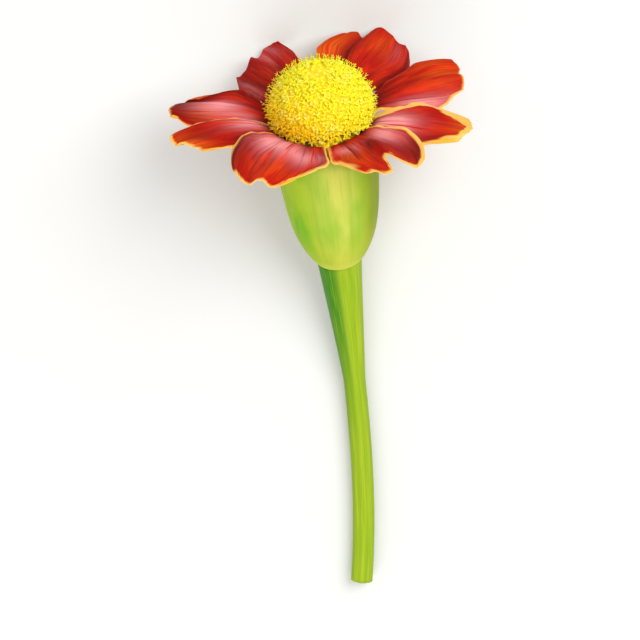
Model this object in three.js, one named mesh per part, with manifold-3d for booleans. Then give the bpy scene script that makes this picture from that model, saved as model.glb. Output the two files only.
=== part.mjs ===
// A single French marigold: eight ray petals round a dome of disc florets, in a green cup on a short cut
// stem. It lies on a surface, on the tips of its two lowest petals and the underside of its stem.
// Millimetres, +Z up. The surface is z = 0 and the origin is the middle of the flower's footprint.
import * as THREE from "three";
import { mergeVertices } from "three/addons/utils/BufferGeometryUtils.js";
import Module from "manifold-3d";

const wasm = await Module();
wasm.setup();

// ---- Driving dimensions ----
const HEAD_AT = new THREE.Vector3(0.6, 30.95, 18.9); // middle of the cup's rim
const HEAD_LIFT = THREE.MathUtils.degToRad(26); // the head's axis above the surface
const HEAD_LEAN = THREE.MathUtils.degToRad(6.5); // and its turn to the left, seen from above

const CUP_LENGTH = 24;
const CUP_RIM_RADIUS = 8.35;
const CUP_BASE_RADIUS = 3.7;
const CUP_WALL = 0.75;
const BRACTS = 8; // grown together, each ending in a tooth
const TOOTH_HEIGHT = 1.8;

const DOME_RADIUS = 7.7; // of the core that the florets stand out of
const DOME_HEIGHT = 6.8; // from its widest level to its crown
const DOME_LEVEL = 4.7; // its widest level, above the rim
const FLORETS = 130;
const BUD_FLORETS = 9; // at the crown, still closed
const LOWEST_FLORET = THREE.MathUtils.degToRad(95); // from the crown, round the dome's middle

const PETAL_THICKNESS = 0.7;
const RING_TILT = THREE.MathUtils.degToRad(2.5); // the ring of petals dips this much on its right
const CLAW_RADIUS = 6.0; // where the petals' claws stand, between the core and the cup
const CLAW_DEPTH = 5;
const CLAW_HALF_WIDTH = 1.25;
const DISC_EDGE = 9; // the radius at which the petals come out from under the florets
const PETAL_ROWS = 12;
const PETAL_COLUMNS = 10;

const STEM_LENGTH = 56;
const STEM_BEND = 28; // the length in which the stem bends down to the surface
const STEM_RADIUS = 1.75;
const STEM_SWELL = 22; // the length under the cup in which the stem thins from the cup's base
const STEM_RIBS = 8;
const STEM_RINGS = 22;

const GAP = 0.3; // between pieces that touch

const RED = 0xc41d0c;
const GOLD = 0xf6c515;
const GREEN = 0x9fc033;
const STEM_GREEN = 0x93bd2f;

// Each petal's own form. azimuth: round the head from its right side, in degrees, +90 facing the surface.
// base and width: how wide it leaves the disc, and is at its widest. widest: the part of its reach where
// that is. closing: how much it narrows to its tip, 0 for a square tip. tipHeight: how high its tip ends
// over the rim. level: how far its blade is shifted along the head's axis. roll: its turn round its own
// length. rounding: how much shorter it is at both edges than at its middle. skew: how much longer it is
// at its +t edge. notches: [place across the tip, depth, width].
const PETALS = [
  { azimuth: 20, reach: 24.2, base: 3.8, width: 12.8, widest: 0.85, closing: 0.35, tipHeight: 3.2,
    level: -0.35, roll: 9, rounding: 1.2, skew: 1.8, notches: [[0.2, 0.7, 0.2]] },
  { azimuth: 62.8, reach: 25.2, base: 6.5, width: 19.2, widest: 0.8, closing: 0.35, tipHeight: 4.0,
    level: -0.4, roll: 6, rounding: 3.6, skew: 0.4, notches: [[0.4, 2.4, 0.16]] },
  { azimuth: 120.5, reach: 21.1, base: 7.4, width: 12.2, widest: 0.95, closing: 0, tipHeight: 2.6,
    level: -0.4, roll: -5, rounding: 0.8, skew: -4.0, notches: [[0.3, 0.6, 0.2]] },
  { azimuth: 166.2, reach: 24.4, base: 4.0, width: 11.8, widest: 0.7, closing: 0.7, tipHeight: 3.4,
    level: -0.61, roll: -8, rounding: 3.5, skew: 0.6, notches: [[-0.3, 0.8, 0.2]] },
  { azimuth: 195, reach: 23.2, base: 4.0, width: 9.8, widest: 0.7, closing: 0.5, tipHeight: 3.6,
    level: 0.11, roll: -3, rounding: 1.6, skew: -2.4, notches: [[0.42, 1.4, 0.2]] },
  { azimuth: 239.2, reach: 22.0, base: 8.6, width: 16.6, widest: 0.66, closing: 0.6, tipHeight: 3.6,
    level: 0.48, roll: -7, rounding: 2.2, skew: -1.2, notches: [[0.2, 0.8, 0.15]] },
  { azimuth: 300.5, reach: 22.2, base: 7.6, width: 14.8, widest: 0.7, closing: 0.5, tipHeight: 4.2,
    level: 0.4, roll: 7, rounding: 2.6, skew: 2.6, notches: [[0.16, 5.0, 0.16]] },
  { azimuth: 343, reach: 24.0, base: 5.0, width: 11.8, widest: 0.72, closing: 0.6, tipHeight: 3.4,
    level: -0.15, roll: 8, rounding: 2.8, skew: 0, notches: [[-0.5, 0.5, 0.2]] },
];

const degrees = THREE.MathUtils.degToRad;
const { clamp, smoothstep, lerp } = THREE.MathUtils;
const bump = (u) => Math.exp(-u * u);

// ---- Helpers ----

// A closed mesh from rings of points, each ring closed on itself, with a flat cap fanned at both ends.
function loft(rings) {
  const sides = rings[0].length;
  const points = rings.flat();
  const faces = [];
  for (let i = 0; i + 1 < rings.length; i++)
    for (let j = 0; j < sides; j++) {
      const a = i * sides + j;
      const b = i * sides + ((j + 1) % sides);
      faces.push(a, b, b + sides, a, b + sides, a + sides);
    }
  for (const [ring, first, turned] of [
    [rings[0], 0, true],
    [rings.at(-1), (rings.length - 1) * sides, false],
  ]) {
    const middle = points.length;
    points.push(ring.reduce((sum, p) => sum.add(p), new THREE.Vector3()).divideScalar(sides));
    for (let j = 0; j < sides; j++) {
      const pair = [first + j, first + ((j + 1) % sides)];
      faces.push(...(turned ? pair.reverse() : pair), middle);
    }
  }
  return meshOf(points, faces);
}

// A blade of even thickness about the surface at(s, t), s from 0 to 1 along it and t from -1 to 1 across.
function blade(at, rows, columns, thickness) {
  const STEP = 1e-3;
  const upper = [];
  const lower = [];
  for (let i = 0; i <= rows; i++)
    for (let j = 0; j <= columns; j++) {
      const s = i / rows;
      const t = (2 * j) / columns - 1;
      const along = at(Math.min(s + STEP, 1), t).sub(at(Math.max(s - STEP, 0), t));
      const across = at(s, Math.min(t + STEP, 1)).sub(at(s, Math.max(t - STEP, -1)));
      const half = along.cross(across).setLength(thickness / 2);
      const middle = at(s, t);
      upper.push(middle.clone().add(half));
      lower.push(middle.clone().sub(half));
    }
  const points = [...upper, ...lower];
  const under = upper.length;
  const width = columns + 1;
  const faces = [];
  for (let i = 0; i < rows; i++)
    for (let j = 0; j < columns; j++) {
      const a = i * width + j;
      const [b, c, d] = [a + 1, a + width + 1, a + width];
      faces.push(a, c, b, a, d, c); // both faces are split on the same diagonal
      faces.push(a + under, b + under, c + under, a + under, c + under, d + under);
    }
  const edge = (a, b) => faces.push(a, b, b + under, a, b + under, a + under);
  for (let i = 0; i < rows; i++) {
    edge((i + 1) * width, i * width);
    edge(i * width + columns, (i + 1) * width + columns);
  }
  for (let j = 0; j < columns; j++) {
    edge(j, j + 1);
    edge(rows * width + j + 1, rows * width + j);
  }
  return meshOf(points, faces);
}

function meshOf(points, faces) {
  const geometry = new THREE.BufferGeometry().setFromPoints(points);
  geometry.setIndex(faces);
  return geometry;
}

function solidOf(geometry) {
  const bare = geometry.clone();
  bare.deleteAttribute("normal");
  bare.deleteAttribute("uv");
  const merged = mergeVertices(bare, 1e-4);
  return new wasm.Manifold(
    new wasm.Mesh({
      numProp: 3,
      vertProperties: merged.attributes.position.array,
      triVerts: new Uint32Array(merged.index.array),
    }),
  );
}

function geometryOf(solid) {
  const { vertProperties, triVerts } = solid.getMesh();
  return new THREE.BufferGeometry()
    .setAttribute("position", new THREE.BufferAttribute(vertProperties, 3))
    .setIndex(new THREE.BufferAttribute(triVerts, 1));
}

// A point at a radius, an angle round the head's axis and a height over the cup's rim.
function roundAxis(radius, angle, height) {
  return new THREE.Vector3(radius * Math.cos(angle), radius * Math.sin(angle), height);
}

// ---- The petals ----
// In the head's own frame: +Z along its axis, out of the face, and +X to its right.

// The surface's up and the way over it in front of the head, as the head's frame has them.
const UP = new THREE.Vector3(0, -Math.cos(HEAD_LIFT), Math.sin(HEAD_LIFT));
const FORWARD = new THREE.Vector3(0, Math.sin(HEAD_LIFT), Math.cos(HEAD_LIFT));

// What reaches below the surface is bent up onto it, and slides forward by the length that this takes up.
function bentOntoSurface(point) {
  const height = HEAD_AT.z + point.dot(UP);
  const sunk = Math.max(0, PETAL_THICKNESS / 2 - height);
  const slide = (1 - Math.sin(HEAD_LIFT)) / Math.cos(HEAD_LIFT);
  return point.addScaledVector(UP, sunk).addScaledVector(FORWARD, sunk * slide);
}

function petalPoint(petal, s, t) {
  // The spine climbs out of the cup, arches over its rim and runs out to the tip.
  const spine = new THREE.CubicBezierCurve(
    new THREE.Vector2(CLAW_RADIUS, -CLAW_DEPTH),
    new THREE.Vector2(CLAW_RADIUS, 5.3),
    new THREE.Vector2(11, 3.9),
    new THREE.Vector2(petal.reach, petal.tipHeight),
  ).getPoint(s);

  const spread = clamp((spine.x - DISC_EDGE) / (petal.widest * petal.reach - DISC_EDGE), 0, 1);
  const past = Math.max(0, (s - 0.78) / 0.22);
  const free = lerp(petal.base / 2, petal.width / 2, spread) * Math.sqrt(1 - petal.closing * past * past);
  const half = lerp(CLAW_HALF_WIDTH, free, smoothstep(spine.x, CLAW_RADIUS, DISC_EDGE));
  const x = half * t;

  const end = smoothstep(s, 0.5, 1);
  const cuts = petal.notches.map(([place, depth, wide]) => depth * bump((t - place) / wide));
  const shortened = petal.rounding * t * t - petal.skew * t + cuts.reduce((sum, cut) => sum + cut);
  const radius = spine.x - end * shortened;

  const limb = smoothstep(s, 0.3, 0.6);
  const channels = -0.45 * bump((Math.abs(t) - 0.42) / 0.2);
  const margins = -0.6 * Math.abs(t) ** 3;
  const waves = 0.35 * end * Math.sin(8 * t + petal.azimuth);
  const angle = degrees(petal.azimuth) + x / spine.x;
  const dip = radius * Math.cos(angle) * Math.tan(RING_TILT);
  const lift = limb * (channels + margins + waves + x * Math.tan(degrees(petal.roll)) - dip);
  const height = spine.y + petal.level * smoothstep(s, 0.1, 0.4) + lift;
  return bentOntoSurface(roundAxis(radius, angle, height));
}

function petalGeometry(petal) {
  return blade((s, t) => petalPoint(petal, s, t), PETAL_ROWS, PETAL_COLUMNS, PETAL_THICKNESS);
}

// ---- The disc florets ----

// One tubular floret, standing on the origin along +Z: a five-sided tube, a five-lobed mouth and the
// style's point in the middle of it. A bud has no open mouth.
function floretGeometry(open) {
  const LOBES = 5;
  const [rootDepth, waist, mouth, throat, mouthHeight, tip] = open
    ? [1, 0.34, 0.75, 0.4, 1, 1.5]
    : [1, 0.45, 0.5, 0.4, 0.6, 1];
  const ring = (outer, inner, height) =>
    Array.from({ length: 2 * LOBES }, (_, k) =>
      roundAxis(k % 2 ? inner : outer, (k * Math.PI) / LOBES, height - (k % 2 ? 0.15 : 0)),
    );
  const rings = [ring(waist, waist, -rootDepth), ring(mouth, throat, mouthHeight)];
  const geometry = loft(rings);
  const position = geometry.attributes.position;
  position.setZ(position.count - 1, tip); // the last point is the middle of the mouth
  return geometry;
}

function discGeometry() {
  // The core: the packed tubes of the florets, from the cup's floor up to the dome.
  const profile = [
    [0, -20.2],
    [3.3, -20.2],
    [4.95, -16.9],
    [5.9, -12],
    [5.3, -6.5],
    [5.3, 0.8],
    [6.9, 2.8],
  ];
  const DOME_STEPS = 6;
  for (let k = 0; k <= DOME_STEPS; k++) {
    const polar = (Math.PI / 2) * (1 - k / DOME_STEPS);
    profile.push([DOME_RADIUS * Math.sin(polar), DOME_LEVEL + DOME_HEIGHT * Math.cos(polar)]);
  }
  profile.at(-1)[0] = 0;
  const outline = profile.map(([radius, height]) => new THREE.Vector2(radius, height));
  const core = new THREE.LatheGeometry(outline, 28);
  core.rotateX(Math.PI / 2); // a lathe turns about Y
  let solid = solidOf(core);

  // Florets on a golden-angle spiral from the crown down, standing off the dome and leaning to its axis.
  const lowest = Math.cos(LOWEST_FLORET);
  const GOLDEN_ANGLE = Math.PI * (3 - Math.sqrt(5));
  for (let k = 0; k < FLORETS; k++) {
    const cosine = 1 - ((1 - lowest) * (k + 0.5)) / FLORETS;
    const sine = Math.sqrt(1 - cosine * cosine);
    const angle = k * GOLDEN_ANGLE;
    const root = roundAxis(DOME_RADIUS * sine, angle, DOME_LEVEL + DOME_HEIGHT * cosine);
    const outwards = roundAxis(sine / DOME_RADIUS, angle, cosine / DOME_HEIGHT).normalize();
    const way = outwards.multiplyScalar(0.8).add(new THREE.Vector3(0, 0, 0.35)).normalize();
    const floret = floretGeometry(k >= BUD_FLORETS);
    floret.rotateZ(angle);
    floret.applyQuaternion(new THREE.Quaternion().setFromUnitVectors(new THREE.Vector3(0, 0, 1), way));
    floret.translate(root.x, root.y, root.z);
    solid = solid.add(solidOf(floret));
  }
  return geometryOf(solid);
}

// ---- The cup ----

function cupGeometry() {
  const SIDES_PER_BRACT = 6;
  const sides = BRACTS * SIDES_PER_BRACT;
  // Each bract swells between two grooves, and its tooth rises to the rim between two petals.
  const swell = (j) => Math.abs(Math.cos((Math.PI * j) / SIDES_PER_BRACT));
  const ring = (radius, height, groove, toothed) =>
    Array.from({ length: sides }, (_, j) => {
      const drop = toothed * TOOTH_HEIGHT * (1 - swell(j));
      return roundAxis(radius - groove * (1 - swell(j)), (2 * Math.PI * j) / sides, height - drop);
    });
  const inner = CUP_RIM_RADIUS - CUP_WALL;
  return loft([
    ring(CUP_BASE_RADIUS, -CUP_LENGTH, 0.1, 0),
    ring(4.7, -22.6, 0.1, 0),
    ring(5.95, -20, 0.15, 0),
    ring(6.85, -16.8, 0.2, 0),
    ring(7.4, -13, 0.2, 0),
    ring(7.75, -9, 0.2, 0),
    ring(8.0, -5, 0.2, 0),
    ring(8.25, -1.4, 0.25, 0.3),
    ring(CUP_RIM_RADIUS, 0.25, 0.2, 1),
    ring(inner, 0.25, 0, 1),
    ring(6.8, -3, 0, 0.2),
    ring(6.7, -7, 0, 0),
    ring(6.3, -12, 0, 0),
    ring(5.3, -17, 0, 0),
    ring(3.6, -20.5, 0, 0),
  ]);
}

// ---- The stem ----
// In the frame of the surface that it lies on, from the cup's base to its cut end.

function stemRadius(length) {
  const left = Math.max(0, 1 - length / STEM_SWELL);
  return STEM_RADIUS + (CUP_BASE_RADIUS - STEM_RADIUS) * left;
}

function stemGeometry() {
  const down = (pitch, yaw) =>
    new THREE.Vector3(Math.sin(yaw) * Math.cos(pitch), -Math.cos(yaw) * Math.cos(pitch), -Math.sin(pitch));
  const sides = 2 * STEM_RIBS;
  const step = (STEM_LENGTH - GAP) / STEM_RINGS;
  const point = HEAD_AT.clone().addScaledVector(down(HEAD_LIFT, HEAD_LEAN), CUP_LENGTH + GAP);
  const rings = [];
  for (let i = 0; i <= STEM_RINGS; i++) {
    const length = i * step;
    const pitch = HEAD_LIFT * Math.max(0, 1 - length / STEM_BEND);
    const part = length / STEM_LENGTH;
    const yaw = HEAD_LEAN * (1 + 0.9 * part - 2.6 * part * part);
    const way = down(pitch, yaw);
    const across = new THREE.Vector3(0, 0, 1).cross(way).normalize();
    const upwards = way.clone().cross(across);
    const radius = stemRadius(length);
    point.z = Math.max(point.z, 0.97 * radius);
    rings.push(
      Array.from({ length: sides }, (_, j) => {
        const angle = (2 * Math.PI * (j + 0.5)) / sides - Math.PI / 2;
        const at = point
          .clone()
          .addScaledVector(across, radius * Math.cos(angle))
          .addScaledVector(upwards, radius * Math.sin(angle));
        at.z = Math.max(at.z, 0); // the underside is flat where it lies
        return at;
      }),
    );
    point.addScaledVector(way, step);
  }
  return loft(rings);
}

// ---- The flower ----

function meshNamed(name, geometry, color, roughness) {
  const mesh = new THREE.Mesh(geometry, new THREE.MeshStandardMaterial({ color, roughness, metalness: 0 }));
  mesh.name = name;
  return mesh;
}

const face = new THREE.Group();
face.rotation.x = HEAD_LIFT - Math.PI / 2;
face.add(meshNamed("disc_florets", discGeometry(), GOLD, 0.7));
face.add(meshNamed("cup", cupGeometry(), GREEN, 0.55));
PETALS.forEach((petal, k) => face.add(meshNamed(`ray_petal_${k + 1}`, petalGeometry(petal), RED, 0.6)));

const head = new THREE.Group();
head.position.copy(HEAD_AT);
head.rotation.z = HEAD_LEAN;
head.add(face);

const flower = new THREE.Group();
flower.add(head, meshNamed("stem", stemGeometry(), STEM_GREEN, 0.55));

export default flower;
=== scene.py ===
import math
import random

import bmesh
import bpy
from mathutils import Matrix, Vector
from mathutils.kdtree import KDTree


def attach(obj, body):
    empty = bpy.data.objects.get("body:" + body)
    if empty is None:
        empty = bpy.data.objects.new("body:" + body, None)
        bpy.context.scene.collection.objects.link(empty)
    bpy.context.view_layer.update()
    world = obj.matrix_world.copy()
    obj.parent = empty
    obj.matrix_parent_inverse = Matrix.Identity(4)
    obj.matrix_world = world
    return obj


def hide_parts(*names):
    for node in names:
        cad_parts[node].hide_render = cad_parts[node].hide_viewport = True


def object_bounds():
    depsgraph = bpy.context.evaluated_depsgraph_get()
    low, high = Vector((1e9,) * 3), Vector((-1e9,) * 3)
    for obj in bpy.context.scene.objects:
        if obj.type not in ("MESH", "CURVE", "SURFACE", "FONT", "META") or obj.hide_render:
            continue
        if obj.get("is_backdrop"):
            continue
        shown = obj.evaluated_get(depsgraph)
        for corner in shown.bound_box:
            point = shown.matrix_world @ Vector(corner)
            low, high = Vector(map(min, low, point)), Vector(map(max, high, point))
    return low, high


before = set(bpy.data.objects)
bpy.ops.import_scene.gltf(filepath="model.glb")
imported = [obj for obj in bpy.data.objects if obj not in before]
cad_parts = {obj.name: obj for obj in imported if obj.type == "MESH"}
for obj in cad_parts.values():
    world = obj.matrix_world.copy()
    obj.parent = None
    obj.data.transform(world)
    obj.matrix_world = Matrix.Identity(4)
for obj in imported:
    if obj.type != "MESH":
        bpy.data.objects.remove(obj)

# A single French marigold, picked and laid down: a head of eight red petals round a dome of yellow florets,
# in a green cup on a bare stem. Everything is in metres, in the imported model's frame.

CAD_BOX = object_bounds()

# ---- Camera ----
# The picture looks at the head from about 36 degrees above its petals' ring. The head's axis is 26 degrees
# off the surface, so the camera looks down from nearly overhead, a little from the side of the head's face.
VIEW_MIDDLE = Vector((0.0, 0.0, 0.012))
VIEW_DISTANCE = 0.70
VIEW_TILT = math.radians(10.5)
VIEW_WIDTH = 0.101  # how much the picture takes in at that distance
SENSOR_WIDTH = 36  # in millimetres, as the lens is

camera_data = bpy.data.cameras.new("camera")
camera_data.sensor_width = SENSOR_WIDTH
camera_data.lens = SENSOR_WIDTH * VIEW_DISTANCE / VIEW_WIDTH
camera = bpy.data.objects.new("camera", camera_data)
bpy.context.scene.collection.objects.link(camera)
camera.matrix_world = (
    Matrix.Translation(VIEW_MIDDLE)
    @ Matrix.Rotation(-VIEW_TILT, 4, "X")
    @ Matrix.Translation((0, 0, VIEW_DISTANCE))
)
bpy.context.scene.camera = camera

# ---- Light ----
# A plain studio: a broad lamp to the upper right, a weaker one to the lower left, and an even white sky.
# Both lamps point at the middle of the floor.
SKY_STRENGTH = 0.62
WHITE = (1, 1, 1, 1)
LAMPS = [  # name, place, size, power in watts
    ("key_lamp", Vector((0.30, 0.26, 0.58)), 0.46, 3.0),
    ("fill_lamp", Vector((-0.16, -0.44, 0.46)), 0.60, 2.2),
]

for name, place, size, power in LAMPS:
    lamp = bpy.data.lights.new(name, "AREA")
    lamp.size = size
    lamp.energy = power
    lamp_object = bpy.data.objects.new(name, lamp)
    lamp_object.location = place
    lamp_object.rotation_euler = (-place).to_track_quat("-Z", "Y").to_euler()
    bpy.context.scene.collection.objects.link(lamp_object)

world = bpy.data.worlds.new("sky")
world.use_nodes = True
world.node_tree.nodes["Background"].inputs["Color"].default_value = WHITE
world.node_tree.nodes["Background"].inputs["Strength"].default_value = SKY_STRENGTH
bpy.context.scene.world = world
bpy.context.scene.view_settings.view_transform = "Standard"


# ---- Floor ----
# A plain, nearly white sheet under the flower. The materials' own way of writing starts here: a Finish
# adds nodes, and a Signal is a socket on which sums can be written.
FLOOR_SIZE = 3.0


def tint(red, green, blue):
    """A colour given as it looks on a screen, 0 to 255, as the linear one that a shader takes."""
    def linear(value):
        part = value / 255
        return part / 12.92 if part <= 0.04045 else ((part + 0.055) / 1.055) ** 2.4
    return (linear(red), linear(green), linear(blue), 1.0)


class Signal:
    """A socket that gives a value, with sums written as Python has them."""

    def __init__(self, finish, socket):
        self.finish = finish
        self.socket = socket

    def maths(self, operation, *others):
        values = dict(enumerate((self, *others)))
        return self.finish.node("ShaderNodeMath", {"operation": operation}, values)

    def __add__(self, other):
        return self.maths("ADD", other)

    def __sub__(self, other):
        return self.maths("SUBTRACT", other)

    def __mul__(self, other):
        return self.maths("MULTIPLY", other)

    def __truediv__(self, other):
        return self.maths("DIVIDE", other)

    def __rsub__(self, other):
        return self * -1 + other

    def __rtruediv__(self, other):
        return self.maths("POWER", -1) * other

    def __abs__(self):
        return self.maths("ABSOLUTE")

    __radd__ = __add__
    __rmul__ = __mul__

    def between(self, low, high):
        """0 below low, 1 above high, and a smooth rise between them. With high the lower one, it falls."""
        settings = {"interpolation_type": "SMOOTHSTEP"}
        values = {"Value": self, "From Min": low, "From Max": high}
        return self.finish.node("ShaderNodeMapRange", settings, values)

    def near(self, value, width):
        """1 at a value, falling off to both sides over a width."""
        off = (self - value) / width
        return (off * off * -1).maths("EXPONENT")


class Finish:
    """A material and the nodes that make it."""

    def __init__(self, name):
        self.material = bpy.data.materials.new(name)
        self.material.use_nodes = True
        self.tree = self.material.node_tree
        self.surface = self.tree.nodes["Principled BSDF"]

    def put(self, socket, value):
        """Links a signal to a socket, or sets the socket to a number or colour."""
        if isinstance(value, Signal):
            self.tree.links.new(value.socket, socket)
        else:
            socket.default_value = value

    def node(self, kind, settings, values, out=0):
        """Adds a node: its settings first, then what its sockets get. It gives one of the outputs."""
        node = self.tree.nodes.new(kind)
        for name, value in settings.items():
            setattr(node, name, value)
        for key, value in values.items():
            self.put(node.inputs[key], value)
        return Signal(self, node.outputs[out])

    def attribute(self, name):
        return self.node("ShaderNodeAttribute", {"attribute_name": name}, {}, "Fac")

    def place(self):
        return self.node("ShaderNodeTexCoord", {}, {}, "Object")

    def noise(self, place, scale, detail):
        return self.node("ShaderNodeTexNoise", {}, {"Vector": place, "Scale": scale, "Detail": detail})

    def grain(self, form, x, y, seed):
        """Noise drawn out over a surface. A form is its fineness in x and y, its scale and its detail."""
        fine_x, fine_y, scale, detail = form
        place = self.node("ShaderNodeCombineXYZ", {}, {"X": x * fine_x, "Y": y * fine_y, "Z": seed})
        return self.noise(place, scale, detail)

    def blend(self, first, second, share):
        """The first colour, with a share of the second laid over it."""
        values = {0: share, 6: first, 7: second}
        return self.node("ShaderNodeMix", {"data_type": "RGBA"}, values, 2)

    def relief(self, height, depth):
        """A normal for a bump of a height signal that goes from 0 to 1 over a depth."""
        return self.node("ShaderNodeBump", {}, {"Height": height, "Distance": depth})

    def set(self, **values):
        """Sets the surface's own sockets, named with underscores for spaces."""
        for name, value in values.items():
            self.put(self.surface.inputs[name.replace("_", " ")], value)
        return self


def mesh_object(name, shape, finishes):
    """Turns a bmesh into a smooth object of the scene."""
    mesh = bpy.data.meshes.new(name)
    shape.to_mesh(mesh)
    shape.free()
    for finish in finishes:
        mesh.materials.append(finish.material)
    mesh.polygons.foreach_set("use_smooth", [True] * len(mesh.polygons))
    made = bpy.data.objects.new(name, mesh)
    bpy.context.scene.collection.objects.link(made)
    return made


paper = Finish("pale_floor")
paper.set(Base_Color=tint(228, 228, 226), Roughness=0.9, Specular_IOR_Level=0.1)
floor_shape = bmesh.new()
bmesh.ops.create_grid(floor_shape, x_segments=1, y_segments=1, size=FLOOR_SIZE / 2)
floor = mesh_object("floor", floor_shape, [paper])
floor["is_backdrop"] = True

# ---- The head's place ----
# The head is one upright thing, built on its own axis (+Z out of its face, +X to its right) and then
# tipped over as it lies: its axis is 26 degrees off the surface and turned a little to the left.
MM = 0.001
HEAD_AT = Vector((0.6, 30.95, 18.9)) * MM  # the middle of the cup's rim
HEAD_LIFT = math.radians(26)
HEAD_LEAN = math.radians(6.5)

head_turn = Matrix.Rotation(HEAD_LEAN, 4, "Z") @ Matrix.Rotation(HEAD_LIFT - math.pi / 2, 4, "X")
head_place = Matrix.Translation(HEAD_AT) @ head_turn


def round_axis(radius, angle, height):
    """A point at a radius and an angle round the head's axis, and a height over the cup's rim."""
    return Vector((radius * math.cos(angle), radius * math.sin(angle), height))


# ---- Ray petals ----
# Eight ray florets, each one strap of thin velvety tissue that narrows to a claw, which goes down between
# the disc and the cup. They are red, darker towards the disc, and most have a thin golden margin.
PETAL_THICKNESS = 0.4 * MM
MARGIN_THINNING = 0.45  # the share of that thickness that is left at the margin
MARGIN_THINNED = 2.0  # how far in from the margin the petal is thinner, in millimetres
PETAL_ROWS = 60
PETAL_COLUMNS = 44
TIP_CROWDING = 1.25  # above 1, the rows are closer together towards the tip
EDGE_CROWDING = 1.4  # and the columns towards both edges
SEED_STEP = 3.7  # how far one petal's streaks lie from the next one's in the noise

# A petal's middle line is a curve with four control points: its claw's foot, two that draw it up out of the
# cup and then out over the disc's edge, and its own tip. Radius and height over the rim, in millimetres.
CLAW_FOOT = (6.0, -5.0)
UP_OUT_OF_CUP = (6.0, 5.3)
OUT_OVER_EDGE = (11.0, 3.9)
CLAW_RADIUS = CLAW_FOOT[0] * MM
CLAW_HALF_WIDTH = 1.25 * MM
DISC_EDGE = 9.0 * MM
RING_TILT = math.radians(2.5)  # the ring of petals dips to its right

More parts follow.
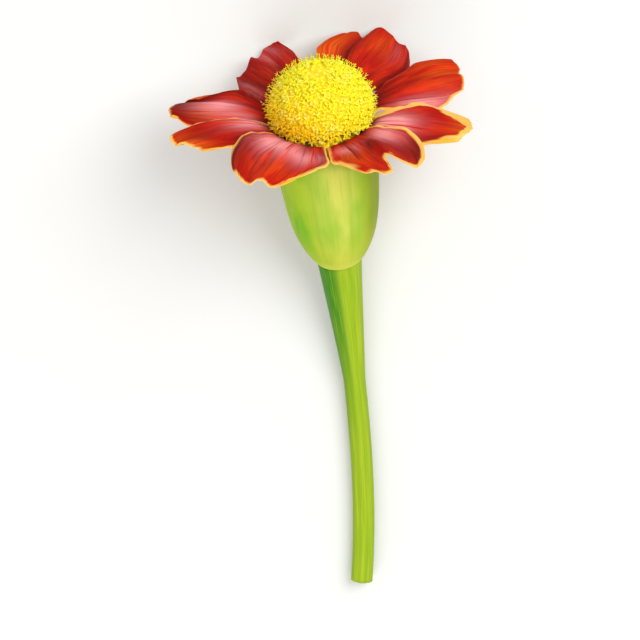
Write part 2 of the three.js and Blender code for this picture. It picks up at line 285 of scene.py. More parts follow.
# Lengths are in millimetres and angles in degrees. s goes along a petal, from 0 at its claw to 1 at its tip,
# and t across it, from -1 to 1 towards a larger azimuth.
# azimuth: round the head from its right side, +90 facing the surface. base and width: how wide a petal
# leaves the disc, and is at its widest. widest: the part of its reach where that is. closing: how strongly
# it narrows to its tip. tip: how high it ends over the rim. level: how far it is shifted along the head's
# axis. roll: its turn round its own length. rounding: how much shorter it is at both edges. skew: how much
# longer it is at t = 1, and shorter at t = -1. corners: how much its two corners are cut back, the one at
# t = -1 first. notches: place across the tip, depth and width, where a depth below 0 is a lobe.
# gold: how golden and wide its margin is at t = -1 and at t = 1. The three lists after it are its patches,
# each with a place across and along it, a width, a length and a strength: dark ones, part maroon blotches
# and part painted shade; pink ones, a painted sheen; and orange ones.
PETALS = [
    dict(azimuth=20, reach=24.2, base=3.8, width=12.8, widest=0.85, closing=0.35, tip=3.2, level=-0.35,
         roll=9, rounding=1.2, skew=1.8, corners=(1.2, 0.6), notches=[(0.2, 0.7, 0.2)], gold=(1.3, 0.25),
         shade_and_maroon=[(0.1, 0.45, 0.9, 0.16, 0.8), (0.7, 0.6, 0.3, 0.2, 0.4)],
         painted_sheen=[(-0.7, 0.78, 0.3, 0.18, 1.0)],
         glow=[(0.4, 0.9, 0.5, 0.12, 0.6)]),
    dict(azimuth=62.8, reach=24.95, base=6.5, width=19.2, widest=0.8, closing=0.35, tip=4.0, level=-0.4,
         roll=6, rounding=3.6, skew=0.4, corners=(0.0, 0.2), gold=(0.05, 0.3),
         notches=[(0.4, 2.4, 0.16), (-0.42, 0.9, 0.16)],
         shade_and_maroon=[(0.36, 0.8, 0.13, 0.3, 0.9), (-0.95, 0.8, 0.24, 0.4, 1.0), (0.3, 0.5, 0.5, 0.12, 0.7)],
         painted_sheen=[(-0.5, 0.92, 0.15, 0.08, 0.15)],
         glow=[(0.78, 0.8, 0.24, 0.22, 1.0), (-0.1, 0.9, 0.3, 0.1, 0.3)]),
    dict(azimuth=120.9, reach=21.1, base=9.0, width=12.8, widest=0.9, closing=0, tip=2.6, level=-0.4,
         roll=-5, rounding=0.8, skew=-3.4, corners=(0.1, 0.2), gold=(0.05, 0.05),
         notches=[(0.18, 0.5, 0.16), (0.66, -1.1, 0.3)],
         shade_and_maroon=[(0.0, 0.7, 1.5, 0.6, 0.5), (0.95, 0.9, 0.4, 0.3, 0.5)],
         painted_sheen=[(-0.5, 0.95, 0.2, 0.1, 0.4), (0.8, 0.8, 0.12, 0.2, 0.4)],
         glow=[(-0.6, 0.52, 0.4, 0.1, 0.7)]),
    dict(azimuth=166.2, reach=24.4, base=4.8, width=11.8, widest=0.7, closing=0.7, tip=3.4, level=-0.61,
         roll=-8, rounding=3.5, skew=0.6, corners=(0.2, 0.3), notches=[(-0.3, 0.8, 0.2)], gold=(0.0, 1.4),
         shade_and_maroon=[(-0.2, 0.97, 0.7, 0.12, 0.9), (-0.9, 0.8, 0.25, 0.5, 0.7)],
         painted_sheen=[(-0.15, 0.77, 0.26, 0.13, 1.0), (0.45, 0.64, 0.3, 0.12, 0.9)],
         glow=[(0.2, 0.84, 0.3, 0.1, 0.6)]),
    dict(azimuth=195, reach=23.2, base=4.0, width=9.8, widest=0.7, closing=0.5, tip=3.6, level=0.11,
         roll=-3, rounding=1.6, skew=-2.4, corners=(0.2, 0.7), notches=[(0.42, 1.4, 0.2)], gold=(1.2, 1.0),
         shade_and_maroon=[(-0.2, 0.88, 0.6, 0.1, 0.4), (0.6, 0.62, 0.5, 0.14, 0.7)],
         painted_sheen=[(-0.4, 0.56, 0.5, 0.13, 1.0)],
         glow=[(0.2, 0.97, 0.8, 0.07, 0.8)]),
    dict(azimuth=239.2, reach=21.7, base=9.8, width=16.6, widest=0.66, closing=0.6, tip=3.6, level=0.48,
         roll=-7, rounding=2.2, skew=-1.2, corners=(0.3, 0.6), notches=[(0.2, 0.8, 0.15)], gold=(1.0, 1.0),
         shade_and_maroon=[(-0.85, 0.85, 0.35, 0.25, 0.9), (0.95, 0.7, 0.25, 0.2, 0.7)],
         painted_sheen=[(-0.3, 0.56, 0.55, 0.14, 1.2), (0.5, 0.66, 0.4, 0.1, 0.6)],
         glow=[(0.0, 0.85, 0.4, 0.1, 0.3)]),
    dict(azimuth=300.5, reach=22.2, base=8.7, width=14.8, widest=0.7, closing=0.5, tip=4.2, level=0.4,
         roll=7, rounding=2.6, skew=2.6, corners=(0.3, 0.1), gold=(1.0, 1.6),
         notches=[(0.16, 5.0, 0.16), (-0.02, 1.1, 0.16)],
         shade_and_maroon=[(0.05, 0.74, 0.26, 0.14, 0.9), (0.7, 0.92, 0.4, 0.14, 0.8)],
         painted_sheen=[(0.62, 0.64, 0.3, 0.12, 0.9), (-0.5, 0.6, 0.35, 0.08, 0.6)],
         glow=[(-0.5, 0.72, 0.3, 0.12, 0.7)]),
    dict(azimuth=343, reach=24.0, base=5.0, width=11.8, widest=0.72, closing=0.6, tip=3.4, level=-0.15,
         roll=8, rounding=2.8, skew=0, corners=(1.0, 0.3), notches=[(-0.5, 0.5, 0.2)], gold=(1.2, 3.2),
         shade_and_maroon=[(0.3, 0.44, 0.9, 0.1, 0.6), (-0.6, 0.88, 0.3, 0.08, 0.6)],
         painted_sheen=[(-0.3, 0.56, 0.65, 0.14, 1.7)],
         glow=[(0.2, 0.97, 0.7, 0.06, 0.7)]),
]

# Between which values of s each thing grows in, from none of it to all of it.
LEVEL_GROWS = (0.1, 0.4)
FOLDS_GROW = (0.3, 0.6)
OUTLINE_GROWS = (0.5, 1)
CORNERS_GROW = (0.76, 1)
CLOSING_GROWS = (0.78, 1)
CURLS_GROW = (0.86, 1)
NICKS_GROW = (0.9, 1)
LAST_CLOSING_GROWS = (0.92, 1)
LAST_CLOSING = 0.12  # how strongly every petal narrows once more at its very end
CORNERS_ACROSS = (0.55, 1)  # between which values of t, on both sides, a corner is cut back

# Folds in the tissue. A ripple has a depth in millimetres, the radians that its wave goes through over one s
# or t, and how much it is shifted by a number that is the petal's own, so that no two petals are alike.
CHANNEL_AT = 0.42  # t of the two long channels, one on each side of the middle
CHANNEL_WIDTH = 0.2
CHANNEL_DEPTH = 0.45
MARGIN_DROOP = 0.6
MEAN_NICK = 0.13
NICKS = (0.07, 17, 1)
FINE_NICKS = (0.05, 41, 2)
WAVES = (0.35, 8, 1)
PLEATS = (0.07, 27, 3)
FINE_PLEATS = (0.05, 44, 1)
RUFFLES = (0.16, 30, 1)
FINE_RUFFLES = (0.08, 57, 4)
CURLS = (0.16, 14, 2)


def lerp(first, second, share):
    return first + (second - first) * share


def smoothstep(value, low, high):
    """0 below low, 1 above high, and a smooth rise between them."""
    share = min(max((value - low) / (high - low), 0.0), 1.0)
    return share * share * (3 - 2 * share)


def past(value, low, high):
    """How far a value is past a low one, as a share of the way to a high one."""
    return max(0.0, (value - low) / (high - low))


def bump(value):
    """1 at 0, falling off to both sides."""
    return math.exp(-value * value)


def ripple(kind, place, own):
    depth, rate, shift = kind
    return depth * math.sin(rate * place + shift * own)


def petal_spine(petal, s):
    """The petal's middle line: up out of the cup, over its rim and out to the tip."""
    points = (CLAW_FOOT, UP_OUT_OF_CUP, OUT_OVER_EDGE, (petal["reach"], petal["tip"]))
    r = 1 - s
    weights = (r ** 3, 3 * r * r * s, 3 * r * s * s, s ** 3)
    return [sum(weight * point[k] for weight, point in zip(weights, points)) * MM for k in (0, 1)]


def petal_half_width(petal, s, radius):
    """Half the petal's width: even in the claw, growing past the disc and closing at the tip."""
    widest = petal["widest"] * petal["reach"] * MM
    spread = min(past(radius, DISC_EDGE, widest), 1)
    closing = 1 - petal["closing"] * past(s, *CLOSING_GROWS) ** 2
    last_closing = 1 - LAST_CLOSING * past(s, *LAST_CLOSING_GROWS) ** 2
    free = lerp(petal["base"], petal["width"], spread) / 2 * MM * math.sqrt(closing * last_closing)
    return lerp(CLAW_HALF_WIDTH, free, smoothstep(radius, CLAW_RADIUS, DISC_EDGE))


def petal_shortening(petal, s, t):
    """How far the petal's outline cuts a place back, in millimetres: its end, corners, notches and nicks."""
    own = petal["azimuth"]
    cuts = sum(depth * bump((t - place) / wide) for place, depth, wide in petal["notches"])
    end = petal["rounding"] * t * t - petal["skew"] * t + cuts
    corner = petal["corners"][t > 0] * smoothstep(abs(t), *CORNERS_ACROSS)
    nicks = MEAN_NICK + ripple(NICKS, t, own) + ripple(FINE_NICKS, t, own)
    ends = nicks * smoothstep(s, *NICKS_GROW) + corner * smoothstep(s, *CORNERS_GROW)
    return end * smoothstep(s, *OUTLINE_GROWS) + ends


def petal_folds(petal, s, t):
    """How far the petal's folds raise a place, in millimetres."""
    own = petal["azimuth"]
    channels = -CHANNEL_DEPTH * bump((abs(t) - CHANNEL_AT) / CHANNEL_WIDTH)
    margins = -MARGIN_DROOP * abs(t) ** 3
    waves = ripple(WAVES, t, own) * smoothstep(s, *OUTLINE_GROWS)
    pleats = ripple(PLEATS, t, own) * (1 - t ** 4) + ripple(FINE_PLEATS, t, own)
    ruffles = t ** 4 * (ripple(RUFFLES, s, own) + ripple(FINE_RUFFLES, s, t))
    curls = ripple(CURLS, t, own) * smoothstep(s, *CURLS_GROW)
    return channels + margins + waves + pleats + ruffles + curls


def petal_point(petal, s, t):
    """A point of the petal in the head's frame."""
    radius, height = petal_spine(petal, s)
    across = petal_half_width(petal, s, radius) * t
    angle = math.radians(petal["azimuth"]) + across / radius
    radius -= petal_shortening(petal, s, t) * MM
    roll = across * math.tan(math.radians(petal["roll"]))
    dip = radius * math.cos(angle) * math.tan(RING_TILT)
    height += petal["level"] * MM * smoothstep(s, *LEVEL_GROWS)
    height += smoothstep(s, *FOLDS_GROW) * (petal_folds(petal, s, t) * MM + roll - dip)
    return round_axis(radius, angle, height)


def laid(point):
    """Takes a point of the head to its place, bending what would go below the surface up onto it."""
    placed = head_place @ point
    sunk = max(0.0, PETAL_THICKNESS / 2 - placed.z)
    slide = sunk * (1 - math.sin(HEAD_LIFT)) / math.cos(HEAD_LIFT)
    forward = head_turn @ Vector((0, math.sin(HEAD_LIFT), math.cos(HEAD_LIFT)))
    return placed + Vector((0, 0, sunk)) + forward * slide


def patches(spots, s, t):
    """How strongly a point of a petal lies in any of its patches."""
    shares = (
        strength * bump((t - across) / width) * bump((s - along) / length)
        for across, along, width, length, strength in spots
    )
    return min(sum(shares), 1.0)


# The velvety face's colours, and its grain: how fine across and along the petal, scale and detail.
RED = tint(190, 18, 4)
BRIGHT_RED = tint(222, 44, 6)
STREAK_RED = tint(146, 10, 5)
VEIN_RED = tint(150, 12, 6)
# painted shade in the two channels' creases, and a darker line along the midrib
CHANNEL_RED = tint(104, 4, 10)
# dark patches: maroon blotches of the tissue, and painted shade on the back petal, at folds and where petals
# overlap
SHADE_AND_MAROON_RED = tint(96, 10, 6)
BASE_RED = tint(92, 6, 12)
GLOW_ORANGE = tint(240, 112, 24)
# a painted sheen: pink highlights laid on the velvet's raised streaks
SHEEN_PINK = tint(255, 164, 168)
MARGIN_GOLD = tint(255, 196, 96)
VEINS = (26, 2.0, 1.6, 4)
STREAKS = (8, 1.6, 1.5, 3)
BROAD_TONES = (2.4, 2.6, 1.7, 2)


def petal_upper():
    """The velvety face: red and streaked, with painted shade in its channels and patches, maroon blotches,
    a painted pink sheen, orange patches and its margin.
    """
    velvet = Finish("petal_velvet")
    along, across, seed = (velvet.attribute(name) for name in ("along", "across", "seed"))
    shade_and_maroon, painted_sheen, glow, gold = (velvet.attribute(name) for name in ("shade_and_maroon", "painted_sheen", "glow", "gold"))
    veins = velvet.grain(VEINS, across, along, seed)
    streaks = velvet.grain(STREAKS, across, along, seed)
    broad = velvet.grain(BROAD_TONES, across, along, seed)
    # the two channels, where shade is painted, and the midrib
    channels = abs(across).near(CHANNEL_AT, 0.12) + across.near(0, 0.04) * 0.4
    base = (along + streaks * 0.2).between(0.62, 0.44)
    # the painted sheen: pink highlights on the raised streaks, in each petal's pink patches
    sheen = painted_sheen * (streaks * 0.6 + veins * 0.4).between(0.34, 0.53)
    margin = (velvet.attribute("margin") + streaks * 0.5 - gold * 0.45).between(0.4, -0.15)
    colour = velvet.blend(RED, BRIGHT_RED, broad.between(0.42, 0.62))
    colour = velvet.blend(colour, GLOW_ORANGE, glow * streaks.between(0.3, 0.6))
    colour = velvet.blend(colour, STREAK_RED, streaks.between(0.48, 0.7) * 0.55)
    colour = velvet.blend(colour, VEIN_RED, veins.between(0.48, 0.7) * 0.5)
    colour = velvet.blend(colour, CHANNEL_RED, channels * along.between(0.98, 0.5) * 0.6)
    # maroon blotches and painted shade
    colour = velvet.blend(colour, SHADE_AND_MAROON_RED, shade_and_maroon * streaks.between(0.15, 0.5))
    colour = velvet.blend(colour, BASE_RED, base * 0.8)
    # the painted pink sheen
    colour = velvet.blend(colour, SHEEN_PINK, sheen * 0.9)
    colour = velvet.blend(colour, MARGIN_GOLD, margin * gold)
    nap = velvet.relief(veins * 0.5 + streaks * 0.5, depth=0.16 * MM)
    return velvet.set(Base_Color=colour, Roughness=0.65, Normal=nap, Specular_IOR_Level=0.08)


BACK_ORANGE = tint(224, 112, 26)
BACK_RED = tint(186, 36, 14)
BACK_YELLOW = tint(228, 196, 70)
BACK_GOLD = tint(250, 176, 44)
BACK_VEINS = (22, 1.6, 1.6, 4)


def petal_under():
    """The back: duller and more orange, streaked with red, and yellow towards the claw."""
    back = Finish("petal_back")
    along, across, seed = (back.attribute(name) for name in ("along", "across", "seed"))
    veins = back.grain(BACK_VEINS, across, along, seed)
    margin = back.attribute("margin").between(0.9, 0.4)
    colour = back.blend(BACK_ORANGE, BACK_RED, veins.between(0.36, 0.6))
    colour = back.blend(colour, BACK_YELLOW, along.between(0.5, 0.25))
    colour = back.blend(colour, BACK_GOLD, margin * back.attribute("gold"))
    nap = back.relief(veins, depth=0.12 * MM)
    return back.set(Base_Color=colour, Roughness=0.6, Normal=nap, Specular_IOR_Level=0.3)


EDGE_RED = tint(120, 12, 18)
EDGE_GOLD = tint(255, 200, 84)


def petal_rim():
    """The thin edge of the tissue, golden where the margin is."""
    rim = Finish("petal_edge")
    return rim.set(Base_Color=rim.blend(EDGE_RED, EDGE_GOLD, rim.attribute("gold")), Roughness=0.55)


def petal_piece(number, petal, finishes):
    """A grid whose points are taken to the petal's own, then given its thickness, thinner at the margin."""
    shape = bmesh.new()
    layers = {name: shape.verts.layers.float.new(name)
              for name in ("along", "across", "margin", "seed", "gold", "shade_and_maroon", "painted_sheen", "glow")}
    bmesh.ops.create_grid(shape, x_segments=PETAL_COLUMNS, y_segments=PETAL_ROWS, size=1)
    for vert in shape.verts:
        x, y = vert.co.xy
        s = 1 - (1 - (y + 1) / 2) ** TIP_CROWDING
        t = math.copysign(1 - (1 - abs(x)) ** EDGE_CROWDING, x)
        values = dict(along=s, across=t, seed=number * SEED_STEP, gold=lerp(*petal["gold"], (t + 1) / 2))
        # its patches: maroon blotches with painted shade, a painted pink sheen, and orange
        values |= {name: patches(petal[name], s, t) for name in ("shade_and_maroon", "painted_sheen", "glow")}
        for name, value in values.items():
            vert[layers[name]] = value
        vert.co = laid(petal_point(petal, s, t))
    outline = [vert.co.copy() for vert in shape.verts if vert.is_boundary]
    tree = KDTree(len(outline))
    for index, place in enumerate(outline):
        tree.insert(place, index)
    tree.balance()
    for vert in shape.verts:
        vert[layers["margin"]] = tree.find(vert.co)[2] / MM
    margins = [vert[layers["margin"]] for vert in shape.verts]
    bmesh.ops.recalc_face_normals(shape, faces=shape.faces)
    face_way = head_turn @ Vector((0, 0, 1))
    if sum(face.normal.dot(face_way) for face in shape.faces) < 0:
        bmesh.ops.reverse_faces(shape, faces=shape.faces)
    piece = mesh_object(f"petal_{number}", shape, finishes)
    body = piece.vertex_groups.new(name="body")
    for index, margin in enumerate(margins):
        body.add([index], smoothstep(margin, 0.0, MARGIN_THINNED), "REPLACE")
    solid = piece.modifiers.new("thickness", "SOLIDIFY")
    solid.thickness = PETAL_THICKNESS
    solid.offset = 0
    solid.vertex_group = "body"
    solid.thickness_vertex_group = MARGIN_THINNING
    solid.material_offset = 1
    solid.material_offset_rim = 2
    fine = piece.modifiers.new("smooth", "SUBSURF")
    fine.levels = fine.render_levels = 1
    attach(piece, "root")
    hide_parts(f"ray_petal_{number}")


petal_finishes = [petal_upper(), petal_under(), petal_rim()]
for petal_number, petal_form in enumerate(PETALS, 1):
    petal_piece(petal_number, petal_form, petal_finishes)

# ---- Disc florets ----
# A little over four hundred tubular florets packed on a dome: each is a narrow tube with five pointed lobes
# that curl outwards, and a style with a forked tip stands out of it. The few at the crown are still buds.
DOME_RADIUS = 7.2 * MM
DOME_HEIGHT = 6.5 * MM
DOME_LEVEL = 4.35 * MM
FLORETS = 440  # in the whole spiral, of which those past the limit are left out
BUDS = 12
GOLDEN_ANGLE = math.pi * (3 - math.sqrt(5))
LOWEST_FLORET = math.radians(114)
DISC_LIMIT = math.radians(110)  # how far round the dome its florets go, on average
DISC_LIMIT_SWING = math.radians(4)  # less away from the surface, where the petals stand high
WIDEST_GAP = math.radians(272)  # where two petals leave room for florets further down
WIDEST_GAP_WIDTH = 0.12  # in radians
WIDEST_GAP_FLORETS = math.radians(10)
OUTWARD_PULL = 0.8  # how much a floret points straight out of the dome
UPWARD_PULL = 0.25  # and how much along the head's axis
LOW_UPWARD_PULL = 0.4  # how much more the low ones do, which the petals hold up
LOW_FLORETS = (1.45, 1.9)  # over which radians from the crown that grows in
FLORET_DRAW = 11  # the seed of the florets' own leans, sizes, turns and tones
FLORET_LEAN = 0.12
FLORET_SIZES = (0.86, 1.1)
BUD_SIZE = 0.9
SHADED_SIDE = math.radians(212)  # the lower left, away from the key lamp, where painted shade makes the dome golden
AGE_AND_SHADE_FROM_CROWN = (0.4, 1.6)  # over which radians from the crown that grows in, as older edge florets are more golden

# A floret's rings from its foot up: radius at a lobe, radius between lobes, height at a lobe, height between
# lobes, all in millimetres, and rise, its place in the floret's run of colours.
LOBES = 5
OPEN_FLORET = [
    (0.26, 0.26, -0.9, -0.9, 0.0),
    (0.36, 0.34, 0.55, 0.55, 0.5),
    (0.76, 0.36, 0.98, 0.84, 1.0),
    (0.34, 0.28, 0.98, 0.9, 0.8),
    (0.14, 0.14, 0.55, 0.55, 0.3),
]
BUD = [
    (0.26, 0.26, -0.9, -0.9, 0.0),
    (0.42, 0.36, 0.35, 0.35, 0.7),
    (0.38, 0.3, 0.62, 0.62, 0.9),
    (0.1, 0.08, 0.9, 0.86, 1.0),
]
STYLE_FOOT = 0.5
STYLE_FORK = 1.45
STYLE_RADIUS = 0.13
STYLE_TAPER = 0.45
STYLE_SIDES = 4
ARM_TIP = (0.22, 0.05, 1.82)
ARM_RADIUS = 0.085
ARM_SIDES = 3
STYLE_RISE = 1.5


def style_cone(shape, foot, head, foot_radius, sides):
    """A slender cone between two points, for the style and the arms of its forked tip."""
    way = head - foot
    turn = way.to_track_quat("Z", "X").to_matrix().to_4x4()
    place = Matrix.Translation((foot + head) / 2) @ turn
    return bmesh.ops.create_cone(
        shape, cap_ends=True, segments=sides, radius1=foot_radius, radius2=foot_radius * STYLE_TAPER,
        depth=way.length, matrix=place,
    )["verts"]


def floret_shape(is_open):
    """One floret, standing on the origin along +Z: an open one, or a bud."""
    shape = bmesh.new()
    rise = shape.verts.layers.float.new("rise")
    ring = bmesh.ops.create_circle(shape, segments=2 * LOBES, radius=1, cap_ends=False)["verts"]
    edges = list(shape.edges)
    steps = OPEN_FLORET if is_open else BUD
    for number, (lobe, valley, lobe_height, valley_height, tone) in enumerate(steps):
        if number:
            made = bmesh.ops.extrude_edge_only(shape, edges=edges)["geom"]
            ring = [item for item in made if isinstance(item, bmesh.types.BMVert)]
            edges = [item for item in made if isinstance(item, bmesh.types.BMEdge)]
        for vert in ring:
            place = round(math.atan2(vert.co.y, vert.co.x) / (math.pi / LOBES)) % (2 * LOBES)
            radius, height = (valley, valley_height) if place % 2 else (lobe, lobe_height)
            vert.co = round_axis(radius * MM, place * math.pi / LOBES, height * MM)
            vert[rise] = tone
    bmesh.ops.contextual_create(shape, geom=edges)
    if is_open:
        foot = Vector((0, 0, STYLE_FOOT)) * MM
        fork = Vector((0, 0, STYLE_FORK)) * MM
        style = style_cone(shape, foot, fork, STYLE_RADIUS * MM, STYLE_SIDES)
        for side in (-1, 1):
            aside, forward, height = ARM_TIP
            tip = Vector((side * aside, forward, height)) * MM
            style += style_cone(shape, fork, tip, ARM_RADIUS * MM, ARM_SIDES)
        for vert in style:
            vert[rise] = STYLE_RISE
    return shape


THROAT_GOLD = tint(255, 216, 18)
LEMON = tint(255, 250, 44)
# older florets and painted shade, at the dome's lower left edge
AGE_AND_SHADE_GOLD = tint(255, 206, 10)
PALE_LEMON = tint(255, 250, 120)
STYLE_YELLOW = tint(255, 236, 60)


def floret_finish():
    """Lemon lobes over golden throats, more golden at the dome's lower left edge: older, and painted shade.
    """
    yellow = Finish("floret_yellow")
    rise, age_and_shade, own = (yellow.attribute(name) for name in ("rise", "age_and_shade", "own"))
    colour = yellow.blend(THROAT_GOLD, LEMON, rise.between(0.0, 0.7))
    # more golden at the lower left edge: older florets, and painted shade
    colour = yellow.blend(colour, AGE_AND_SHADE_GOLD, age_and_shade)
    colour = yellow.blend(colour, PALE_LEMON, own.between(0.55, 1.0) * 0.4)
    colour = yellow.blend(colour, STYLE_YELLOW, rise.between(1.3, STYLE_RISE) * 0.5)
    return yellow.set(Base_Color=colour, Roughness=0.6, Specular_IOR_Level=0.12)


def floret_limit(angle):
    """How far round the dome its florets go, at an angle round the head."""
    room = bump((angle % (2 * math.pi) - WIDEST_GAP) / WIDEST_GAP_WIDTH) * WIDEST_GAP_FLORETS
    return DISC_LIMIT + DISC_LIMIT_SWING * math.sin(angle) + room


def floret_dome(finish):
    """The florets in one spiral from the crown down, each with its own lean, size, turn and tone."""
    draw = random.Random(FLORET_DRAW)
    meshes = {}
    for is_open in (False, True):
        shape = floret_shape(is_open)
        meshes[is_open] = bpy.data.meshes.new("floret")
        shape.to_mesh(meshes[is_open])
        shape.free()
    dome = bmesh.new()
    for name in ("rise", "age_and_shade", "own"):
        dome.verts.layers.float.new(name)
    for k in range(FLORETS):
        cosine = 1 - (1 - math.cos(LOWEST_FLORET)) * (k + 0.5) / FLORETS
        polar, angle = math.acos(cosine), k * GOLDEN_ANGLE
        if polar > floret_limit(angle):
            continue
        root = round_axis(DOME_RADIUS * math.sin(polar), angle, DOME_LEVEL + DOME_HEIGHT * cosine)
        out = round_axis(math.sin(polar) / DOME_RADIUS, angle, cosine / DOME_HEIGHT).normalized()
        upward = UPWARD_PULL + LOW_UPWARD_PULL * smoothstep(polar, *LOW_FLORETS)
        way = (out * OUTWARD_PULL + Vector((0, 0, upward))).normalized()
        way += Vector([draw.uniform(-FLORET_LEAN, FLORET_LEAN) for _ in range(3)])
        is_open = k >= BUDS
        size = draw.uniform(*FLORET_SIZES) * (1 if is_open else BUD_SIZE)
        turn = way.to_track_quat("Z", "X").to_matrix().to_4x4()
        spin = Matrix.Rotation(draw.uniform(0, 2 * math.pi), 4, "Z")
        place = head_place @ Matrix.Translation(root) @ turn @ spin
        before = len(dome.verts)
        dome.from_mesh(meshes[is_open])
        dome.verts.ensure_lookup_table()
        age_and_shade, own = dome.verts.layers.float["age_and_shade"], dome.verts.layers.float["own"]
        # more golden towards the edge, as older florets are, and on the side away from the key lamp, a
        # painted shade
        age_and_shade_share = smoothstep(polar, *AGE_AND_SHADE_FROM_CROWN) * (0.5 + 0.5 * math.cos(angle - SHADED_SIDE)) ** 2
        tone = draw.random()
        for vert in dome.verts[before:]:
            vert.co = place @ (vert.co * size)
            vert[age_and_shade] = age_and_shade_share
            vert[own] = tone
    for mesh in meshes.values():
        bpy.data.meshes.remove(mesh)
    return mesh_object("disc_florets_open", dome, [finish])


# The florets' tubes are one turned shape: a root in the cup, a waist that leaves room for the claws, and a
# dome round the florets' feet. The root's and the waist's points are radius and height, in millimetres.
TUBE_GOLD = tint(255, 206, 14)
TUBE_YELLOW = tint(255, 230, 34)
TUBE_ROOT = [(0, -20), (3.2, -20), (4.8, -16.9), (5.8, -12)]
TUBE_WAIST = [(5.2, -6.5), (5.2, 0.8), (6.6, 2.9)]
TUBE_COVER = 0.48  # how much further out than the florets' roots its dome is, in millimetres
TUBE_SIDES = 40
TUBE_DOME_STEPS = 10
SEAM_GAP = 1e-6  # points of a turned shape that are closer than this are made one


def turning_line(shape, outline):
    """The points and edges of an outline of radii and heights in millimetres, for turn_round."""
    verts = [shape.verts.new((radius * MM, 0, height * MM)) for radius, height in outline]
    return verts, [shape.edges.new(pair) for pair in zip(verts, verts[1:])]


def turn_round(shape, verts, edges, sides):
    """Turns a line round the head's axis, with its seam and poles closed."""
    bmesh.ops.spin(shape, geom=verts + edges, axis=(0, 0, 1), cent=(0, 0, 0), steps=sides,
                   angle=2 * math.pi, use_merge=True)
    bmesh.ops.remove_doubles(shape, verts=shape.verts, dist=SEAM_GAP)


def dome_core():
    """What shows between the florets: their massed golden tubes, down into the cup."""
    amber = Finish("floret_tubes")
    streak = amber.noise(amber.place(), scale=900, detail=2)
    amber.set(Base_Color=amber.blend(TUBE_GOLD, TUBE_YELLOW, streak.between(0.35, 0.65)), Roughness=0.7)
    level = DOME_LEVEL / MM
    radius = DOME_RADIUS / MM + TUBE_COVER
    height = DOME_HEIGHT / MM + TUBE_COVER
    rises = [k * math.pi / 2 / TUBE_DOME_STEPS for k in range(TUBE_DOME_STEPS)]
    over = [(radius * math.cos(rise), level + height * math.sin(rise)) for rise in rises]
    shape = bmesh.new()
    line = turning_line(shape, TUBE_ROOT + TUBE_WAIST + over + [(0, level + height)])
    turn_round(shape, *line, TUBE_SIDES)
    bmesh.ops.recalc_face_normals(shape, faces=shape.faces)
    bmesh.ops.transform(shape, matrix=head_place, verts=shape.verts)
    return mesh_object("disc_tubes", shape, [amber])


for disc_piece in (floret_dome(floret_finish()), dome_core()):
    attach(disc_piece, "root")
    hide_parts("disc_florets")

# ---- Cup ----
# The involucre: eight bracts grown together along their sides into one smooth green cup, whose tips stay
# free as small teeth round the petals' claws. Faint grooves show where they join.
BRACTS = 8
CUP_LENGTH = 24 * MM
CUP_SIDES = 96
CUP_PROFILE = [  # in millimetres: radius, height over the rim, depth of the grooves; share of a tooth's cut
    (3.3, -24.15, 0.0, 0.0),
    (3.72, -24.0, 0.03, 0.0),
    (3.95, -23.6, 0.05, 0.0),
    (4.75, -22.6, 0.08, 0.0),
    (6.0, -20, 0.12, 0.0),
    (6.87, -16.8, 0.15, 0.0),
    (7.42, -13, 0.15, 0.0),
    (7.77, -9, 0.15, 0.0),
    (8.03, -5, 0.15, 0.0),
    (8.24, -1.6, 0.2, 0.3),
    (8.25, 0.2, 0.15, 1.0),
    (8.0, 0.3, 0.1, 1.0),
    (7.7, 0.1, 0.0, 1.0),
    (6.9, -3, 0.0, 0.2),
    (6.7, -7, 0.0, 0.0),
    (6.3, -12, 0.0, 0.0),
    (5.3, -17, 0.0, 0.0),
    (3.5, -20.4, 0.0, 0.0),
]
TOOTH_HEIGHT = 1.8  # how deep the rim is cut between two teeth, in millimetres
TOOTH_SHARPNESS = 0.8  # below 1, the teeth are blunter and the grooves between them narrower
HIGHLIGHT_SIDE = math.radians(-83)  # where a painted highlight runs down the cup, towards the key lamp, round the head's axis
HIGHLIGHT_WIDTH = 0.5  # in radians
SHADED_FLANK = (HIGHLIGHT_SIDE + 0.3, HIGHLIGHT_SIDE + 1.0)  # where painted shade turns the cup olive, to the right of that highlight

LEAF_GREEN = tint(108, 174, 6)
YELLOW_GREEN = tint(156, 186, 28)
# the painted highlight's colour
HIGHLIGHT_GREEN = tint(204, 206, 88)
GLAND_GREEN = tint(122, 172, 16)
# painted shade on the cup's right flank
SHADE_OLIVE = tint(132, 146, 12)
GROOVE_GREEN = tint(116, 154, 20)
# painted shade towards the rim, under the petals' claws
RIM_SHADE_GREEN = tint(100, 142, 16)
FOOT_YELLOW = tint(184, 188, 40)
FOOT_PALE = tint(206, 210, 84)
GLANDS = (9, 1.2, 2.2, 3)
CUP_TONES = (1, 1.3, 1.6, 2)


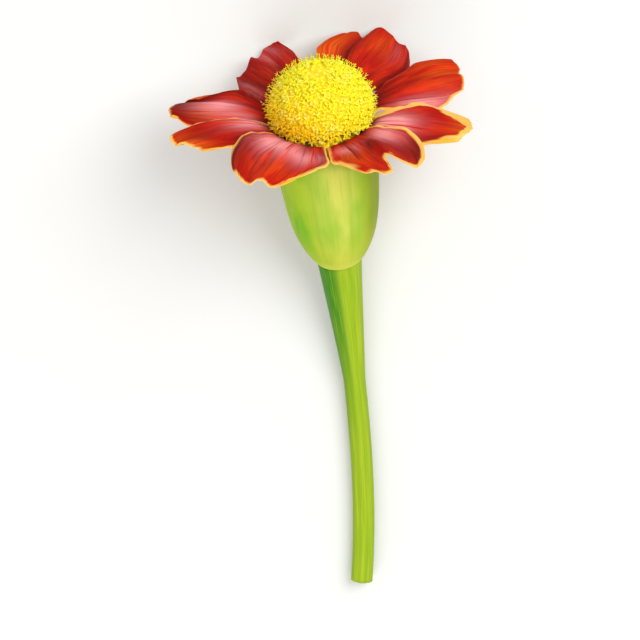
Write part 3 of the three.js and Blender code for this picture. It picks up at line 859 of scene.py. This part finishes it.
def cup_finish():
    """Yellow-green and waxy, with faint long oil glands; a painted highlight on one side, painted shade
    on its right flank and under the rim.
    """
    green = Finish("cup_green")
    around, down, pale, flank_shade = (green.attribute(name) for name in ("around", "down", "pale", "flank_shade"))
    glands = green.grain(GLANDS, around, down, 0.0)
    tones = green.grain(CUP_TONES, around, down, 3.0)
    colour = green.blend(LEAF_GREEN, YELLOW_GREEN, tones.between(0.4, 0.62))
    # the painted highlight down one side
    colour = green.blend(colour, HIGHLIGHT_GREEN, pale * (tones.between(0.2, 0.55) * 0.6 + 0.4))
    colour = green.blend(colour, GLAND_GREEN, glands.between(0.46, 0.74) * 0.25)
    # painted shade on the right flank
    colour = green.blend(colour, SHADE_OLIVE, flank_shade * 0.9)
    colour = green.blend(colour, GROOVE_GREEN, green.attribute("groove") * 0.25)
    # painted shade under the rim, where the petals' claws hang over
    colour = green.blend(colour, RIM_SHADE_GREEN, down.between(0.1, 0.0) * 0.5)
    colour = green.blend(colour, FOOT_YELLOW, down.between(0.55, 0.95) * 0.6)
    colour = green.blend(colour, FOOT_PALE, down.between(0.9, 1.0) * 0.7)
    wax = green.relief(glands, depth=0.03 * MM)
    return green.set(Base_Color=colour, Roughness=0.55, Normal=wax, Specular_IOR_Level=0.12)


def cup_piece(finish):
    """The cup's wall, turned from its outline, then drawn in at the grooves and cut between the teeth."""
    shape = bmesh.new()
    around, down, groove, level, pale, flank_shade = (
        shape.verts.layers.float.new(name) for name in ("around", "down", "groove", "level", "pale", "flank_shade")
    )
    verts, edges = turning_line(shape, [(radius, height) for radius, height, _, _ in CUP_PROFILE])
    for number, vert in enumerate(verts):
        vert[level] = number
    turn_round(shape, verts, edges, CUP_SIDES)
    bmesh.ops.holes_fill(shape, edges=[edge for edge in shape.edges if edge.is_boundary])
    for vert in shape.verts:
        radius, height, depth, cut = CUP_PROFILE[round(vert[level])]
        angle = math.atan2(vert.co.y, vert.co.x)
        valley = 1 - abs(math.cos(BRACTS * angle / 2)) ** TOOTH_SHARPNESS
        vert[around] = abs(angle)
        vert[down] = -height * MM / CUP_LENGTH
        vert[groove] = valley ** 3
        # the painted highlight
        vert[pale] = bump((angle - HIGHLIGHT_SIDE) / HIGHLIGHT_WIDTH)
        # painted shade
        vert[flank_shade] = smoothstep(angle, *SHADED_FLANK)
        vert.co = round_axis((radius - depth * valley) * MM, angle,
                             (height - cut * TOOTH_HEIGHT * valley) * MM)
    bmesh.ops.recalc_face_normals(shape, faces=shape.faces)
    bmesh.ops.transform(shape, matrix=head_place, verts=shape.verts)
    piece = mesh_object("cup_green", shape, [finish])
    fine = piece.modifiers.new("smooth", "SUBSURF")
    fine.levels = fine.render_levels = 1
    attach(piece, "root")
    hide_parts("cup")


cup_piece(cup_finish())

# ---- Stem ----
# The flower's own bare stalk, faintly ribbed and swollen under the cup. It bends down to the surface and
# lies along it, and its end is a clean cut that shows the pale pith.
STEM_LENGTH = 56 * MM
STEM_TOP = CUP_LENGTH + 0.05 * MM  # where it starts behind the cup's rim, just inside the cup's foot
STEM_SHORTER = 0.6 * MM  # how much of its length is left off at the cut, to stay inside the solid one
STEM_BEND = 28 * MM  # the length over which it bends down
STEM_BOW = (0.9, -2.6)  # how its turn to the side changes with its length and with that squared
STEM_RADIUS = 1.75 * MM
STEM_SWELL = 22 * MM  # the length over which it is swollen
CUP_BASE_RADIUS = 3.7 * MM
STEM_RINGS = 84
STEM_SIDES = 48
STEM_RIBS = 8
RIB_DEPTH = 0.12 * MM
STEM_CLEARANCE = 0.02 * MM  # how far over the floor its lowest points stay
SHADE_AROUND = (-0.1, 0.5)  # on its left: in minus the cosine of the angle from its right side
SHADE_DOWN = (0.1, 0.7)  # and the parts of its length between which the shade fades
CUT_RIM = 0.3 * MM
PITH_RIM = 0.4 * MM
PITH_HOLLOW = 0.25 * MM

STEM_GREEN = tint(140, 172, 20)
STEM_LIGHT = tint(166, 186, 38)
RIB_GREEN = tint(114, 156, 20)
SHADE_GREEN = tint(64, 130, 10)
PITH_GREEN = tint(196, 212, 130)
PITH_PALE = tint(228, 232, 186)
STEM_STREAKS = (7, 3, 2.0, 3)


def stem_way(pitch, yaw):
    """The way that the stem goes: down by a pitch, and turned by a yaw from straight behind the head."""
    return Vector((math.sin(yaw) * math.cos(pitch), -math.cos(yaw) * math.cos(pitch), -math.sin(pitch)))


def stem_rings():
    """The middle, the two directions across, the radius and the part of the length of each ring."""
    step = (STEM_LENGTH - STEM_SHORTER) / STEM_RINGS
    point = HEAD_AT + stem_way(HEAD_LIFT, HEAD_LEAN) * STEM_TOP
    for number in range(STEM_RINGS + 1):
        length = number * step
        part = length / STEM_LENGTH
        pitch = HEAD_LIFT * max(0.0, 1 - length / STEM_BEND)
        way = stem_way(pitch, HEAD_LEAN * (1 + STEM_BOW[0] * part + STEM_BOW[1] * part * part))
        side = Vector((0, 0, 1)).cross(way).normalized()
        swell = max(0.0, 1 - length / STEM_SWELL)
        radius = STEM_RADIUS + (CUP_BASE_RADIUS - RIB_DEPTH - STEM_RADIUS) * swell
        point.z = max(point.z, radius)
        yield point.copy(), side, way.cross(side), radius, part
        point = point + way * step


def stem_skin():
    """Yellow-green with faint ribs, and a darker side under the cup."""
    skin = Finish("stem_green")
    around, down, shade = (skin.attribute(name) for name in ("around", "down", "shade"))
    streaks = skin.grain(STEM_STREAKS, around, down, 0.0)
    colour = skin.blend(STEM_GREEN, STEM_LIGHT, streaks.between(0.36, 0.66))
    colour = skin.blend(colour, RIB_GREEN, skin.attribute("groove") * 0.35)
    colour = skin.blend(colour, SHADE_GREEN, shade * streaks.between(0.3, 0.5))
    ribs = skin.relief(streaks, depth=0.05 * MM)
    return skin.set(Base_Color=colour, Roughness=0.55, Normal=ribs, Specular_IOR_Level=0.15)


def stem_pith():
    """The cut face: pale, wet pith inside a green ring."""
    pith = Finish("stem_pith")
    cells = pith.noise(pith.place(), scale=4000, detail=2)
    return pith.set(Base_Color=pith.blend(PITH_GREEN, PITH_PALE, cells.between(0.4, 0.6)), Roughness=0.5)


def stem_piece(finishes):
    """A ribbed ring drawn out ring by ring down the stem, and closed by its cut face."""
    shape = bmesh.new()
    around, down, groove, shade = (
        shape.verts.layers.float.new(name) for name in ("around", "down", "groove", "shade")
    )
    bmesh.ops.create_circle(shape, segments=STEM_SIDES, radius=1, cap_ends=True)
    edges = list(shape.edges)
    angles = {vert: math.atan2(vert.co.y, vert.co.x) for vert in shape.verts}
    for number, (middle, side, upward, radius, part) in enumerate(stem_rings()):
        if number:
            made = bmesh.ops.extrude_edge_only(shape, edges=edges)["geom"]
            edges = [item for item in made if isinstance(item, bmesh.types.BMEdge)]
            ring = [item for item in made if isinstance(item, bmesh.types.BMVert)]
            drawn_from = {vert: next(edge.other_vert(vert) for edge in vert.link_edges
                                     if edge.other_vert(vert) in angles) for vert in ring}
            angles = {vert: angles[old] for vert, old in drawn_from.items()}
        for vert, angle in angles.items():
            valley = 0.5 - 0.5 * math.cos(STEM_RIBS * angle)
            reach = radius - RIB_DEPTH * valley
            vert[around] = abs(angle)
            vert[down] = part
            vert[groove] = valley ** 2
            vert[shade] = smoothstep(-math.cos(angle), *SHADE_AROUND) * (1 - smoothstep(part, *SHADE_DOWN))
            vert.co = middle + side * (reach * math.cos(angle)) + upward * (reach * math.sin(angle))
            vert.co.z = max(vert.co.z, STEM_CLEARANCE)
    cut = bmesh.ops.contextual_create(shape, geom=edges)["faces"]
    green_ring = bmesh.ops.inset_region(shape, faces=cut, thickness=CUT_RIM, depth=0)["faces"]
    bmesh.ops.inset_region(shape, faces=cut, thickness=PITH_RIM, depth=-PITH_HOLLOW)
    for face in cut:
        face.material_index = 1
    for face in green_ring:
        face.material_index = 0
    bmesh.ops.recalc_face_normals(shape, faces=shape.faces)
    piece = mesh_object("stem_green", shape, finishes)
    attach(piece, "root")
    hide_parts("stem")


stem_piece([stem_skin(), stem_pith()])

boxes = {"cad": CAD_BOX, "visual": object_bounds()}
{name: [list(map(float, corner)) for corner in box] for name, box in boxes.items()}
